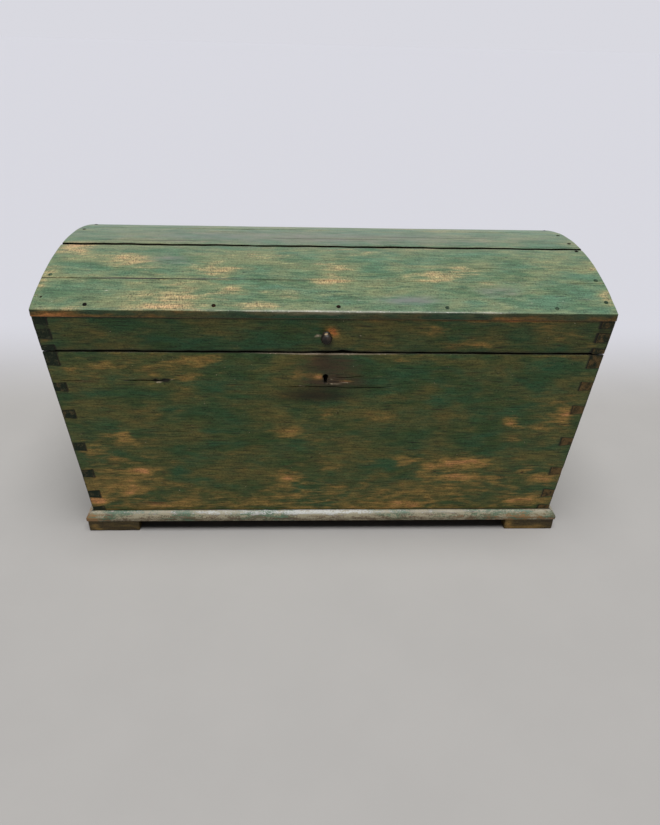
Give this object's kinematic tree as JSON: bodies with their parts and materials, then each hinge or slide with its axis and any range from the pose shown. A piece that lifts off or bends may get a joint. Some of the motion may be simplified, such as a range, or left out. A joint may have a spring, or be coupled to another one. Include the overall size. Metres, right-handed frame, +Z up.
{
  "type": "trunk",
  "caption": "Domed-lid storage trunk: dovetailed plank body with leaning ends, hinged stave lid, chest lock, base moulding and block feet.",
  "frame": {"origin": "middle of the whole chest's box, on the floor under the feet", "axes": "+Z up, the front faces -Y, +X to the right as seen from the front"},
  "size_m": [1.1534, 0.608, 0.6056],
  "materials": {
    "front_paint": "worn dark green paint over ochre and bare wood, satin",
    "lid_paint": "worn grey-green paint with rubbed yellow patches, satin",
    "end_paint": "worn dark green paint, satin",
    "moulding_paint": "rubbed pale grey-green paint",
    "foot_paint": "dark paint worn to orange-brown wood at the edges",
    "bare_pine": "unpainted softwood, aged",
    "old_iron": "dark wrought iron",
    "knob_wood": "dark turned wood, satin"
  },
  "bodies": {
    "chest_body": {"front_board": "front_paint", "back_board": "front_paint", "left_end_board": "end_paint", "right_end_board": "end_paint", "front_floor_board": "bare_pine", "rear_floor_board": "bare_pine", "front_moulding": "moulding_paint", "left_moulding": "moulding_paint", "right_moulding": "moulding_paint", "front_left_foot": "foot_paint", "front_right_foot": "foot_paint", "rear_left_foot": "foot_paint", "rear_right_foot": "foot_paint", "left_lower_leaf": "old_iron", "right_lower_leaf": "old_iron", "left_hinge_pin": "old_iron", "right_hinge_pin": "old_iron", "left_lower_leaf_nail_1": "old_iron", "left_lower_leaf_nail_2": "old_iron", "right_lower_leaf_nail_1": "old_iron", "right_lower_leaf_nail_2": "old_iron", "lock_plate": "old_iron", "lock_case": "old_iron", "bolt_spring": "old_iron"},
    "lid": {"lid_front_rail": "front_paint", "lid_back_rail": "front_paint", "lid_left_end": "end_paint", "lid_right_end": "end_paint", "front_stave": "lid_paint", "second_stave": "lid_paint", "crest_stave": "lid_paint", "fourth_stave": "lid_paint", "rear_stave": "lid_paint", "knob": "knob_wood", "front_nail_1": "old_iron", "front_nail_2": "old_iron", "front_nail_3": "old_iron", "front_nail_4": "old_iron", "front_nail_5": "old_iron", "left_end_nail_1": "old_iron", "left_end_nail_2": "old_iron", "left_end_nail_3": "old_iron", "left_end_nail_4": "old_iron", "left_end_nail_5": "old_iron", "right_end_nail_1": "old_iron", "right_end_nail_2": "old_iron", "right_end_nail_3": "old_iron", "right_end_nail_4": "old_iron", "right_end_nail_5": "old_iron", "right_end_nail_6": "old_iron", "right_end_nail_7": "old_iron", "left_upper_leaf": "old_iron", "right_upper_leaf": "old_iron", "left_upper_leaf_nail_1": "old_iron", "left_upper_leaf_nail_2": "old_iron", "right_upper_leaf_nail_1": "old_iron", "right_upper_leaf_nail_2": "old_iron", "lid_catch": "old_iron"},
    "bolt": {"lock_bolt": "old_iron"}
  },
  "joints": [
    {"name": "lid_hinge", "type": "hinge", "parent": "chest_body", "child": "lid", "pos_m": [0, 0.2985, 0.45555], "axis": [-1, 0, 0], "range_deg": [0, 105]},
    {"name": "bolt_slide", "type": "slide", "parent": "chest_body", "child": "bolt", "axis": [1, 0, 0], "range_m": [0, 0.012]}
  ]
}
